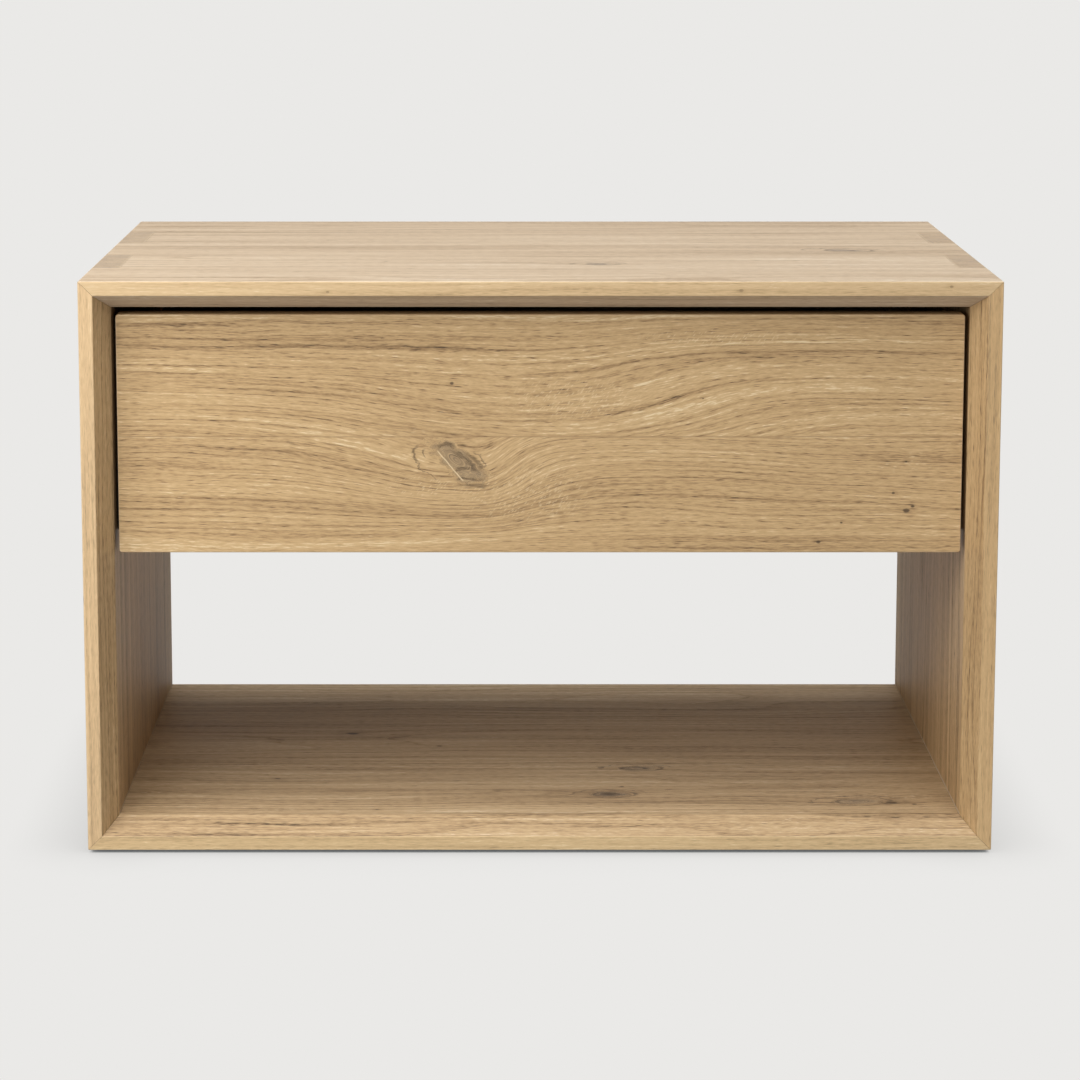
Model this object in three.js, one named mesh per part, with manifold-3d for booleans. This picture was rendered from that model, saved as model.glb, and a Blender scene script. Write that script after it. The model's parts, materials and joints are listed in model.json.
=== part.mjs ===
// Oak bedside table: a finger-jointed carcass that is open below, and one drawer on telescopic ball slides.
// Millimetres, +Z up, front towards -Y. The origin is on the floor, under the middle of the carcass.
import * as THREE from "three";
import { mergeVertices } from "three/addons/utils/BufferGeometryUtils.js";
import Module from "manifold-3d";

const wasm = await Module();
wasm.setup();

// ---- Carcass
const carcassWidth = 600;
const carcassDepth = 400;
const carcassHeight = 380;
const board = 19; // thickness of the top, bottom and side panels
const frontFlat = 9.5; // flat of a panel's front edge, next to the outer face
const bevelDepth = 20; // how far back the bevel on a front edge runs
const fingerCount = 5; // joint segments along a corner: the first is mitred, then fingers alternate
const glueGap = 0.15; // hairline between glued faces

// ---- Back panel and its dowels
const backThickness = 12;
const backInset = 8; // from the rear edges of the side panels
const dowelRadius = 4;
const dowelInSide = 11;
const dowelInBack = 15;
const dowelFromEdge = 32; // dowel centre to the back panel's upper or lower edge

// ---- Felt pads under the bottom panel
const padRadius = 14;
const padThickness = 2;
const padRim = 0.5; // softening of a pad's upper edge
const padFromCorner = 24; // pad centre to the carcass's outer faces

// ---- Drawer front
const frontThickness = 19;
const frontHeight = 158.5;
const frontCornerRadius = 2;
const frontSideGap = 3;
const frontTopGap = 5;
const fingerLip = 11.5; // how far the drawer front hangs below the box, as a finger pull

// ---- Drawer box
const boxBelowFront = 22; // from the drawer front's upper edge down to the box's
const boxWall = 12;
const boxPastSlide = 10; // how much longer the box is than its slides
const boxFingerCount = 5;
const bottomThickness = 6;
const bottomRise = 8; // underside of the bottom above the box's lower edge
const grooveDepth = 6;

// ---- Telescopic slides: three nested channels with two ball cages, seen in section as
// u, the distance in from the side panel, and v, the height above the slide's centre line
const slideThickness = 12.7;
const spaceBehindSlide = 40.7; // from the slide's rear end to the back panel
const sheet = 1.2;
const cabinetRailHalfHeight = 22.5;
const middleRailHalfHeight = 17.2;
const drawerRailHalfHeight = 12.5;
const flangeShort = 0.6; // from the flanges of the cabinet and middle rails to the drawer rail's web
const flangeLip = 1.0; // turned edge that keeps the balls in the cabinet rail
const nestGap = 0.25; // between one channel's web and the next
const middleRailShorter = 10;
const drawerRailShorter = 12;
const cageSheet = 0.6;
const cageShort = 0.5; // from a cage's edges to what stands in front of them
const cageEndGap = 5; // from a cage's end to the end of what its two rails share, drawer fully out
const ballPitch = 20;
const ballClearance = 0.3;
const accessHoleRadius = 5;
const stopLength = 9;
const stopHalfHeight = 9;
const stopDepth = 7;

// ---- Screws
const screwHeadRadius = 3.9;
const screwShankRadius = 1.9;
const screwPoint = 3; // length of the pointed tip
const screwRim = 0.3; // cylindrical edge of a countersunk head
const cabinetScrewFromEnd = 38; // outermost screw centres to the ends of a cabinet rail
const cabinetScrewLength = 15;
const drawerScrewFromEnd = 28; // outermost screw centres to the ends of a drawer rail
const drawerScrewLength = 11;
const frontScrewLength = 26;
const frontScrewHeadHeight = 2.4;
const frontScrewHeadCrown = 1; // height and inset of the head's rounding
const frontScrewFromSide = 90; // screw centre to the box's outer side
const frontScrewFromEdge = 32; // screw centre to the box front's upper or lower edge

const fitGap = 0.3; // clearance between pieces that aren't glued
const overcut = 5; // how far a cutter runs past what it cuts
const padSegments = 32;
const smallSegments = 12;
const cornerSegments = 3;
const ballSegments = 8;

// ---- Places worked out from the sizes above
const half = carcassWidth / 2;
const innerHalf = half - board;
const front = -carcassDepth / 2;
const rear = carcassDepth / 2;
const base = padThickness; // underside of the carcass
const crown = base + carcassHeight; // upper face of the top panel
const ceiling = crown - board; // underside of the top panel
const fingerPitch = carcassDepth / fingerCount;

const drawerFace = front + bevelDepth;
const drawerFaceBack = drawerFace + frontThickness;
const frontTop = ceiling - frontTopGap;
const frontBottom = frontTop - frontHeight;
const backFace = rear - backInset - backThickness;

const slideFront = drawerFaceBack + fitGap;
const slideRear = backFace - spaceBehindSlide;
const drawerTravel = slideRear - slideFront; // full-extension slides open by their own length
const middleTravel = drawerTravel / 2;

const boxBottom = frontBottom + fingerLip;
const boxTop = frontTop - boxBelowFront;
const boxHalf = innerHalf - slideThickness - fitGap;
const boxFrontOuter = slideFront;
const boxFrontInner = boxFrontOuter + boxWall;
const boxRear = slideRear + boxPastSlide;
const boxBackInner = boxRear - boxWall;
const slideCentre = boxBottom + cabinetRailHalfHeight + fitGap;

const flangeTip = slideThickness - sheet - flangeShort;
const outerCageBack = fitGap + sheet + nestGap;
const outerCageTip = flangeTip - sheet - cageShort;
const middleRailBack = outerCageBack + cageSheet + nestGap;
const innerCageBack = middleRailBack + sheet + nestGap;
const innerCageTip = flangeTip - cageShort;
const drawerRailTip = innerCageBack + cageSheet + nestGap;

// ---- Materials
const finish = (color, roughness, metalness = 0) =>
  new THREE.MeshStandardMaterial({ color, roughness, metalness });
const oak = finish(0xcdab7a, 0.6);
const plywood = finish(0xd6bd93, 0.6);
const beech = finish(0xd9b98c, 0.7);
const blackSteel = finish(0x17181a, 0.45, 0.6);
const zinc = finish(0xb9bcc0, 0.3, 0.9);
const rubber = finish(0x1b1b1b, 0.9);
const felt = finish(0x4a443d, 1);

// ---- Solids
// A closed three.js geometry as a solid that can be cut and joined.
function solidOf(geometry) {
  const bare = geometry.index ? geometry.toNonIndexed() : geometry.clone();
  bare.deleteAttribute("normal");
  bare.deleteAttribute("uv");
  const merged = mergeVertices(bare, 1e-4);
  return new wasm.Manifold(
    new wasm.Mesh({
      numProp: 3,
      vertProperties: merged.attributes.position.array,
      triVerts: new Uint32Array(merged.index.array),
    }),
  );
}

// The solid's surface as a three.js geometry.
function geometryOf(solid) {
  const mesh = solid.getMesh();
  const points = new Float32Array(mesh.numVert * 3);
  for (let i = 0; i < mesh.numVert; i++) {
    const start = i * mesh.numProp;
    points.set(mesh.vertProperties.subarray(start, start + 3), i * 3);
  }
  const geometry = new THREE.BufferGeometry();
  geometry.setAttribute("position", new THREE.BufferAttribute(points, 3));
  geometry.setIndex(new THREE.BufferAttribute(mesh.triVerts, 1));
  geometry.computeVertexNormals();
  return geometry;
}

function piece(name, solid, material) {
  const mesh = new THREE.Mesh(geometryOf(solid), material);
  mesh.name = name;
  return mesh;
}

// A block between any two opposite corners.
function block([x0, y0, z0], [x1, y1, z1]) {
  const box = new THREE.BoxGeometry(Math.abs(x1 - x0), Math.abs(y1 - y0), Math.abs(z1 - z0));
  box.translate((x0 + x1) / 2, (y0 + y1) / 2, (z0 + z1) / 2);
  return solidOf(box);
}

// An outline pushed along a direction. across and up are where the outline's own axes point.
function prism(outline, length, across, up, start) {
  const geometry = new THREE.ExtrudeGeometry(new THREE.Shape(outline), {
    depth: length,
    bevelEnabled: false,
  });
  const along = new THREE.Vector3().crossVectors(across, up);
  const place = new THREE.Matrix4().makeBasis(across, up, along).setPosition(start);
  return solidOf(geometry.applyMatrix4(place));
}

// A turned solid: the profile holds [radius, distance along axis] pairs and starts and ends on the axis.
function turned(profile, axis, start, segments) {
  const points = profile.map(([radius, along]) => new THREE.Vector2(radius, along));
  const geometry = new THREE.LatheGeometry(points, segments);
  const turn = new THREE.Quaternion().setFromUnitVectors(new THREE.Vector3(0, 1, 0), axis);
  const place = new THREE.Matrix4().compose(start, turn, new THREE.Vector3(1, 1, 1));
  return solidOf(geometry.applyMatrix4(place));
}

function rod(radius, length, axis, start) {
  const profile = [[0, 0], [radius, 0], [radius, length], [0, length]];
  return turned(profile, axis, start, smallSegments);
}

const cutAll = (solid, cutters) => cutters.reduce((left, cutter) => left.subtract(cutter), solid);
const xAxis = new THREE.Vector3(1, 0, 0);
const yAxis = new THREE.Vector3(0, 1, 0);
const zAxis = new THREE.Vector3(0, 0, 1);
const at = (x, y, z) => new THREE.Vector3(x, y, z);
const flat = (x, y) => new THREE.Vector2(x, y);

// ---- Carcass panels
// A panel with a bevelled front edge. inward points from its outer face to its inner face.
function edgedBoard(length, inward, start) {
  const outline = [
    flat(0, 0),
    flat(frontFlat, 0),
    flat(board, bevelDepth),
    flat(board, carcassDepth),
    flat(0, carcassDepth),
  ];
  return prism(outline, length, inward, yAxis, start);
}

// A point at a corner of the carcass, a in from the side's outer face and b in from the top's or bottom's.
function cornerPoint(hand, isTop, a, b) {
  return flat(hand * (half - a), isTop ? crown - b : base + b);
}

// The mitre's waste at the front segment of one corner, for the upright or for the level panel.
function mitreWaste(hand, isTop, isUpright) {
  const step = glueGap / Math.SQRT2;
  const corners = [
    [-overcut + step, -overcut],
    [board + overcut + step, board + overcut],
    [-2 * overcut, board + overcut],
    [-2 * overcut, -overcut],
  ];
  const outline = corners.map(([a, b]) =>
    isUpright ? cornerPoint(hand, isTop, b, a) : cornerPoint(hand, isTop, a, b),
  );
  const mitreRear = front + fingerPitch;
  return prism(outline, fingerPitch + overcut, xAxis, zAxis, at(0, mitreRear, 0));
}

// The sockets that one corner's fingers need. Uprights have their fingers in the odd segments.
function fingerSockets(hand, isTop, isUpright) {
  const cutters = [];
  for (let segment = isUpright ? 2 : 1; segment < fingerCount; segment += 2) {
    const grow = isUpright ? 0 : glueGap;
    const y0 = front + segment * fingerPitch - grow;
    const isLast = segment === fingerCount - 1;
    const y1 = isLast ? rear + overcut : front + (segment + 1) * fingerPitch + grow;
    const reach = board + glueGap;
    const inner = isUpright ? [board + overcut, reach] : [reach, board + overcut];
    const p = cornerPoint(hand, isTop, -overcut, -overcut);
    const q = cornerPoint(hand, isTop, ...inner);
    cutters.push(block([p.x, y0, p.y], [q.x, y1, q.y]));
  }
  return cutters;
}

function levelPanel(isTop) {
  const inward = isTop ? zAxis.clone().negate() : zAxis;
  const start = isTop ? at(-half, front, crown) : at(half, front, base);
  const waste = [-1, 1].flatMap((hand) => [
    mitreWaste(hand, isTop, false),
    ...fingerSockets(hand, isTop, false),
  ]);
  return cutAll(edgedBoard(carcassWidth, inward, start), waste);
}

// The right-hand side panel, bored for its slide screws and dowels.
function sidePanel() {
  const waste = [true, false].flatMap((isTop) => [
    mitreWaste(1, isTop, true),
    ...fingerSockets(1, isTop, true),
  ]);
  const upright = edgedBoard(carcassHeight, xAxis.clone().negate(), at(half, front, crown));
  return cutAll(upright, [...waste, ...cabinetScrewPlaces(fitGap), ...dowelPlaces(fitGap)]);
}

// ---- Back panel and dowels
const backHalf = innerHalf - glueGap;
const backBottom = frontBottom;
const backTop = ceiling - glueGap;
const dowelHeights = [backBottom + dowelFromEdge, backTop - dowelFromEdge];

// The dowels on the right-hand side, or their holes when grow is more than nothing.
function dowelPlaces(grow) {
  const y = backFace + backThickness / 2;
  const length = dowelInSide + dowelInBack + 2 * grow;
  return dowelHeights.map((z) =>
    rod(dowelRadius + grow, length, xAxis, at(innerHalf - dowelInBack - grow, y, z)),
  );
}

function backPanel() {
  const panel = block([-backHalf, backFace, backBottom], [backHalf, backFace + backThickness, backTop]);
  const y = backFace + backThickness / 2;
  const length = dowelInSide + dowelInBack + 2 * fitGap;
  const leftHoles = dowelHeights.map((z) =>
    rod(dowelRadius + fitGap, length, xAxis, at(-innerHalf - dowelInSide - fitGap, y, z)),
  );
  return cutAll(panel, [...dowelPlaces(fitGap), ...leftHoles]);
}

// ---- Pads
function feltPad(hand, end) {
  const profile = [
    [0, 0],
    [padRadius, 0],
    [padRadius, padThickness - padRim],
    [padRadius - padRim, padThickness],
    [0, padThickness],
  ];
  const x = hand * (half - padFromCorner);
  const y = end * (carcassDepth / 2 - padFromCorner);
  return turned(profile, zAxis, at(x, y, 0), padSegments);
}

// ---- Screws
// A countersunk screw with its head's face at start, or the hole it needs when grow is more than nothing.
function countersunkScrew(length, axis, start, grow = 0) {
  const headDepth = screwHeadRadius - screwShankRadius;
  const face = grow ? -overcut : 0;
  const profile = [
    [0, face],
    [screwHeadRadius + grow, face],
    [screwHeadRadius + grow, screwRim],
    [screwShankRadius + grow, screwRim + headDepth],
    [screwShankRadius + grow, length - screwPoint + grow],
    [0, length + 2 * grow],
  ];
  return turned(profile, axis, start, smallSegments);
}

// Three stations along a rail: one near each end and one halfway.
const stationsAlong = (y0, y1, fromEnd) => [y0 + fromEnd, (y0 + y1) / 2, y1 - fromEnd];
const cabinetStations = stationsAlong(slideFront, slideRear, cabinetScrewFromEnd);
const drawerStations = stationsAlong(slideFront, slideRear - drawerRailShorter, drawerScrewFromEnd);

// The right-hand cabinet rail's screws, which run out into the side panel.
function cabinetScrewPlaces(grow = 0) {
  return cabinetStations.map((y) => {
    const start = at(innerHalf - fitGap - sheet, y, slideCentre);
    return countersunkScrew(cabinetScrewLength, xAxis, start, grow);
  });
}

// The right-hand drawer rail's screws, which run in into the drawer's side.
function drawerScrewPlaces(grow = 0) {
  return drawerStations.map((y) => {
    const start = at(innerHalf - slideThickness + sheet, y, slideCentre);
    return countersunkScrew(drawerScrewLength, xAxis.clone().negate(), start, grow);
  });
}

// A round-headed screw that holds the drawer front from inside the box, or its hole.
function frontScrew(hand, z, grow = 0) {
  const x = hand * (boxHalf - frontScrewFromSide);
  const profile = [
    [0, 0],
    [screwHeadRadius - frontScrewHeadCrown, 0],
    [screwHeadRadius, frontScrewHeadCrown],
    [screwHeadRadius, frontScrewHeadHeight],
    [screwShankRadius, frontScrewHeadHeight],
    [screwShankRadius, frontScrewLength - screwPoint],
    [0, frontScrewLength],
  ];
  const hole = [
    [0, frontScrewHeadHeight - overcut],
    [screwShankRadius + grow, frontScrewHeadHeight - overcut],
    [screwShankRadius + grow, frontScrewLength - screwPoint + grow],
    [0, frontScrewLength + 2 * grow],
  ];
  const head = boxFrontInner + frontScrewHeadHeight + fitGap;
  return turned(grow ? hole : profile, yAxis.clone().negate(), at(x, head, z), smallSegments);
}

const frontScrewHeights = { upper: boxTop - frontScrewFromEdge, lower: boxBottom + frontScrewFromEdge };

// ---- Drawer front and box
function drawerFront() {
  const width = 2 * (innerHalf - frontSideGap);
  const outline = new THREE.Shape();
  const r = frontCornerRadius;
  outline.absarc(width / 2 - r, frontTop - r, r, 0, Math.PI / 2);
  outline.absarc(-width / 2 + r, frontTop - r, r, Math.PI / 2, Math.PI);
  outline.absarc(-width / 2 + r, frontBottom + r, r, Math.PI, Math.PI * 1.5);
  outline.absarc(width / 2 - r, frontBottom + r, r, Math.PI * 1.5, Math.PI * 2);
  const points = outline.getPoints(cornerSegments);
  const slab = prism(points, frontThickness, xAxis, zAxis, at(0, drawerFaceBack, 0));
  return cutAll(slab, frontScrewHoles());
}

function frontScrewHoles() {
  const heights = Object.values(frontScrewHeights);
  return [-1, 1].flatMap((hand) => heights.map((z) => frontScrew(hand, z, fitGap)));
}

// The drawer's bottom, or the grooves it sits in when grow is more than nothing.
function drawerBottom(grow = 0) {
  const x = boxHalf - boxWall + grooveDepth - fitGap + grow;
  const y0 = boxFrontInner - grooveDepth + fitGap - grow;
  const y1 = boxRear - boxWall + grooveDepth - fitGap + grow;
  const z = boxBottom + bottomRise;
  return block([-x, y0, z - grow], [x, y1, z + bottomThickness + grow]);
}

// The waste between the fingers at one end of the box, for its side walls or for its front and back walls.
function boxFingerWaste(hand, y0, y1, isSide) {
  const pitch = (boxTop - boxBottom) / boxFingerCount;
  const cutters = [];
  for (let segment = isSide ? 1 : 0; segment < boxFingerCount; segment += 2) {
    const grow = isSide ? 0 : glueGap;
    const x0 = boxHalf - boxWall - (isSide ? overcut : glueGap);
    const x1 = boxHalf + overcut;
    const z0 = boxBottom + segment * pitch - grow;
    const z1 = z0 + pitch + 2 * grow;
    cutters.push(block([hand * x0, y0, z0], [hand * x1, y1, z1]));
  }
  return cutters;
}

// The right-hand side of the drawer box, bored for its rail's screws.
function boxSide() {
  const wall = block([boxHalf - boxWall, boxFrontOuter, boxBottom], [boxHalf, boxRear, boxTop]);
  const frontWaste = boxFingerWaste(1, boxFrontOuter - overcut, boxFrontInner + glueGap, true);
  const backWaste = boxFingerWaste(1, boxBackInner - glueGap, boxRear + overcut, true);
  const waste = [...frontWaste, ...backWaste, drawerBottom(fitGap), ...drawerScrewPlaces(fitGap)];
  return cutAll(wall, waste);
}

function boxEndWall(y0, y1) {
  const wall = block([-boxHalf, y0, boxBottom], [boxHalf, y1, boxTop]);
  const waste = [-1, 1].flatMap((hand) => boxFingerWaste(hand, y0 - overcut, y1 + overcut, false));
  return cutAll(wall, [...waste, drawerBottom(fitGap)]);
}

// ---- Slides, right-hand side
// A channel's outline. back is the outside of its web and tip is where its flanges end.
function channelOutline(back, tip, halfHeight, thickness, lip = 0) {
  const way = Math.sign(tip - back);
  const web = back + way * thickness;
  const inside = halfHeight - thickness;
  const edge = tip - way * thickness;
  const plain = [flat(tip, inside)];
  const turnedIn = [flat(tip, inside - lip), flat(edge, inside - lip), flat(edge, inside)];
  const flange = [flat(back, halfHeight), flat(tip, halfHeight)];
  const upper = [...flange, ...(lip ? turnedIn : plain), flat(web, inside)];
  const lower = upper.map((p) => flat(p.x, -p.y)).reverse();
  return [...upper, ...lower];
}

// An outline in the slide's section, u in from the side panel and v above the centre line, run along Y.
function slideSection(outline, y0, y1) {
  return prism(outline, y1 - y0, xAxis.clone().negate(), zAxis, at(innerHalf, y0, slideCentre));
}

function cabinetRail() {
  const outline = channelOutline(fitGap, flangeTip, cabinetRailHalfHeight, sheet, flangeLip);
  return cutAll(slideSection(outline, slideFront, slideRear), cabinetScrewPlaces(fitGap));
}

function middleRail() {
  const outline = channelOutline(middleRailBack, flangeTip, middleRailHalfHeight, sheet);
  const holes = cabinetStations.map((y) =>
    rod(accessHoleRadius, slideThickness, xAxis, at(innerHalf - slideThickness, y, slideCentre)),
  );
  return cutAll(slideSection(outline, slideFront, slideRear - middleRailShorter), holes);
}

function drawerRail() {
  const outline = channelOutline(slideThickness, drawerRailTip, drawerRailHalfHeight, sheet);
  const rail = slideSection(outline, slideFront, slideRear - drawerRailShorter);
  return cutAll(rail, drawerScrewPlaces(fitGap));
}

// A ball cage with its balls, in the space between an outer and an inner channel. shared is the stretch
// that the two rails share with the drawer fully out, and travel is how far the cage moves to get there.
function ballCage({ back, tip, outerFace, innerFace, shared, travel }) {
  const ballV = (outerFace + innerFace) / 2;
  const radius = (outerFace - innerFace) / 2 - ballClearance;
  const outline = channelOutline(back, tip, ballV + cageSheet / 2, cageSheet);
  const y0 = shared[0] + cageEndGap + travel;
  const y1 = shared[1] - cageEndGap + travel;
  const count = Math.floor((y1 - y0) / ballPitch) + 1;
  const first = (y0 + y1 - (count - 1) * ballPitch) / 2;
  let cage = slideSection(outline, y0, y1);
  for (let i = 0; i < count; i++) {
    for (const side of [-1, 1]) {
      const ball = new THREE.SphereGeometry(radius, ballSegments, ballSegments / 2);
      ball.translate(innerHalf - (back + tip) / 2, first + i * ballPitch, slideCentre + side * ballV);
      cage = cage.add(solidOf(ball));
    }
  }
  return cage;
}

function outerCage() {
  return ballCage({
    back: outerCageBack,
    tip: outerCageTip,
    outerFace: cabinetRailHalfHeight - sheet,
    innerFace: middleRailHalfHeight,
    shared: [slideFront, slideRear - middleRailShorter - middleTravel],
    travel: middleTravel / 2,
  });
}

function innerCage() {
  return ballCage({
    back: innerCageBack,
    tip: innerCageTip,
    outerFace: middleRailHalfHeight - sheet,
    innerFace: drawerRailHalfHeight,
    shared: [slideFront - middleTravel, slideRear - drawerRailShorter - drawerTravel],
    travel: (middleTravel + drawerTravel) / 2,
  });
}

// The rubber stop at the rear of the cabinet rail, which the middle rail closes against.
function rearStop() {
  const u0 = 2 * fitGap + sheet;
  return block(
    [innerHalf - u0 - stopDepth, slideRear - stopLength, slideCentre - stopHalfHeight],
    [innerHalf - u0, slideRear, slideCentre + stopHalfHeight],
  );
}

// ---- Assembly
const table = new THREE.Group();

table.add(
  piece("top_panel", levelPanel(true), oak),
  piece("bottom_panel", levelPanel(false), oak),
  piece("back_panel", backPanel(), oak),
  piece("drawer_front", drawerFront(), oak),
  piece("drawer_box_front", cutAll(boxEndWall(boxFrontOuter, boxFrontInner), frontScrewHoles()), oak),
  piece("drawer_box_back", boxEndWall(boxBackInner, boxRear), oak),
  piece("drawer_bottom", drawerBottom(), plywood),
);

for (const [label, hand] of [["left", -1], ["right", 1]]) {
  for (const [end, way] of [["front", -1], ["rear", 1]]) {
    table.add(piece(`felt_pad_${end}_${label}`, feltPad(hand, way), felt));
  }
  for (const [level, z] of Object.entries(frontScrewHeights)) {
    table.add(piece(`front_screw_${level}_${label}`, frontScrew(hand, z), zinc));
  }

  // Everything at one side is made for the right and mirrored for the left.
  const side = new THREE.Group();
  side.scale.x = hand;
  side.add(
    piece(`side_panel_${label}`, sidePanel(), oak),
    piece(`drawer_box_side_${label}`, boxSide(), oak),
    piece(`cabinet_rail_${label}`, cabinetRail(), blackSteel),
    piece(`middle_rail_${label}`, middleRail(), blackSteel),
    piece(`drawer_rail_${label}`, drawerRail(), blackSteel),
    piece(`outer_ball_cage_${label}`, outerCage(), zinc),
    piece(`inner_ball_cage_${label}`, innerCage(), zinc),
    piece(`rear_stop_${label}`, rearStop(), rubber),
  );
  dowelPlaces(0).forEach((dowel, i) => {
    side.add(piece(`back_dowel_${["lower", "upper"][i]}_${label}`, dowel, beech));
  });
  cabinetScrewPlaces().forEach((screw, i) => {
    side.add(piece(`cabinet_rail_screw_${i + 1}_${label}`, screw, zinc));
  });
  drawerScrewPlaces().forEach((screw, i) => {
    side.add(piece(`drawer_rail_screw_${i + 1}_${label}`, screw, zinc));
  });
  table.add(side);
}

export default table;
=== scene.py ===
"""Oak bedside table: softened boards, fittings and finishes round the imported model, and a plain studio."""
import json
import math

import bmesh
import bpy
from bpy.props import FloatProperty, FloatVectorProperty, IntProperty, PointerProperty
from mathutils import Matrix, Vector


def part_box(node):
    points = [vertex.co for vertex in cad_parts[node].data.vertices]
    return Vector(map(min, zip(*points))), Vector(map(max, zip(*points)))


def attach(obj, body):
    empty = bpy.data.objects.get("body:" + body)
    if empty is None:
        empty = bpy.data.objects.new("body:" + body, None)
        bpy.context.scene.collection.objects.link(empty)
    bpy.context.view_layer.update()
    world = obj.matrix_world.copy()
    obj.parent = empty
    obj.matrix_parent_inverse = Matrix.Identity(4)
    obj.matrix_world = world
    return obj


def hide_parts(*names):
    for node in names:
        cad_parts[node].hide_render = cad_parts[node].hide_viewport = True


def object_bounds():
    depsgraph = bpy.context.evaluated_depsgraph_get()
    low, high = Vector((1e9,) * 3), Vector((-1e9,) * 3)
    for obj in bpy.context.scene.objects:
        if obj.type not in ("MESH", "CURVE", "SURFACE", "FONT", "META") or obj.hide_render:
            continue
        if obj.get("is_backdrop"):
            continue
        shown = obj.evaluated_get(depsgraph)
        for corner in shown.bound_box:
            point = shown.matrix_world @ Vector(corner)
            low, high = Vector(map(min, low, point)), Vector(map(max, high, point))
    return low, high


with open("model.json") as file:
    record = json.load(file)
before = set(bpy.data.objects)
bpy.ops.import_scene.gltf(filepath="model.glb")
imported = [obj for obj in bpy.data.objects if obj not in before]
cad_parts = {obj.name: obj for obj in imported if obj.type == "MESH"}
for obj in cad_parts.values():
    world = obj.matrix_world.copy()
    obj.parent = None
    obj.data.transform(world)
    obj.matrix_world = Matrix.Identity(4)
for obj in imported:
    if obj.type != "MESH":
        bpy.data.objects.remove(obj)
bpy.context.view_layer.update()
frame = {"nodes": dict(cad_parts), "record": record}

bl_info = {
    "name": "Oak Bedside Table",
    "version": (1, 0, 0),
    "blender": (4, 5, 0),
    "location": "3D View > Sidebar > Bedside Table",
    "description": "Builds the boards, fittings, finishes and studio of an oak bedside table",
    "category": "Add Mesh",
}

MM = 0.001
WELD = 1e-6
HAIR = 1e-5  # how far the rounding block stands outside the boards that it trims
TOUCH = 0.02 * MM  # how close a place is to a plane that it lies on
CORNER_RADIUS = 2 * MM  # of the drawer front, seen from the front
STOP_RADIUS = 1.2 * MM
PAD_RIM = 0.45 * MM
CAGE_SHEET = 0.6 * MM
BALL_PITCH = 20 * MM
SCREW_SHANK = 1.9 * MM  # a radius
ROUND_HEAD_DEPTH = 2.4 * MM
SHADOW_REACH = 60 * MM
FLOOR_WIDTH = 60
LAMP_DISTANCE = 1.5
CAMERA_PLACE = (-0.027, -2.418, 0.637)
CAMERA_TILT = 0.1581  # downwards, in radians
AXES = "XYZ"
SIDES = ("left", "right")
CARCASS_PANELS = ("top_panel", "bottom_panel", "side_panel_left", "side_panel_right")
BOX_WALLS = ("drawer_box_front", "drawer_box_back", "drawer_box_side_left", "drawer_box_side_right")


# ---- Settings that a user would change

def colour_setting(name, description, default):
    return FloatVectorProperty(name=name, description=description, subtype="COLOR", size=3, default=default)


class OakSettings(bpy.types.PropertyGroup):
    """The oak and how its boards are softened."""

    pore: colour_setting("Pore", "Colour of the open pores and pin knots", (0.085, 0.052, 0.028))
    early: colour_setting(
        "Early wood", "Colour of the porous wood at each growth ring", (0.34, 0.215, 0.105))
    middle: colour_setting("Middle wood", "Colour of most of the wood", (0.55, 0.368, 0.19))
    late: colour_setting("Late wood", "Colour of the dense wood between the rings", (0.68, 0.482, 0.265))
    fleck: colour_setting("Fleck", "Colour of the silvery ray flecks", (0.84, 0.68, 0.45))
    knot: colour_setting("Knot", "Colour of the grey wood in a knot", (0.225, 0.17, 0.115))
    end_grain: colour_setting("End grain", "Colour of a sawn end", (0.36, 0.305, 0.255))
    ring_pitch: FloatProperty(
        name="Ring pitch", description="Distance between growth rings, in millimetres",
        default=3.7, min=0.5)
    arris: FloatProperty(
        name="Arris radius", description="Rounding of the outer edges of the boards",
        default=0.8 * MM, min=0.0, unit="LENGTH")
    inner_arris: FloatProperty(
        name="Inner arris", description="Softening of the edges of the front bevel",
        default=0.5 * MM, min=0.0, unit="LENGTH")


class FittingSettings(bpy.types.PropertyGroup):
    """The slides, screws, pads and stops."""

    steel: colour_setting("Black steel", "Coating of the slide rails", (0.014, 0.014, 0.016))
    zinc: colour_setting("Zinc", "Plating of the screws and ball cages", (0.56, 0.57, 0.58))
    felt: colour_setting("Felt", "Wool of the pads", (0.075, 0.066, 0.058))
    rubber: colour_setting("Rubber", "Colour of the rear stops", (0.018, 0.018, 0.018))
    bend_radius: FloatProperty(
        name="Bend radius", description="Rounding of the folded edges of the rails",
        default=0.45 * MM, min=0.0, unit="LENGTH")
    recess_depth: FloatProperty(
        name="Recess depth", description="Depth of the cross recess in a screw head",
        default=1.3 * MM, min=0.0, unit="LENGTH")
    ball_segments: IntProperty(
        name="Ball segments", description="Segments round each ball", default=16, min=8)


class StudioSettings(bpy.types.PropertyGroup):
    """Floor, light and camera."""

    floor: colour_setting("Floor", "Colour of the floor and background", (0.823, 0.815, 0.799))
    bounce: FloatProperty(
        name="Floor bounce", description="How much light the floor gives back", default=0.62, min=0.0)
    overhead: FloatProperty(
        name="Overhead", description="Strength of the wide light above", default=2.9, min=0.0)
    key: FloatProperty(
        name="Key", description="Power of the softbox at the front left, in watts", default=11.0, min=0.0)
    front: FloatProperty(
        name="Front", description="Strength of the wide light in front", default=0.95, min=0.0)
    back: FloatProperty(
        name="Back", description="Strength of the low light behind", default=0.12, min=0.0)
    lens: FloatProperty(
        name="Lens", description="Focal length", default=114.9, min=1.0, subtype="DISTANCE_CAMERA")


# ---- Shader maths

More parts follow.
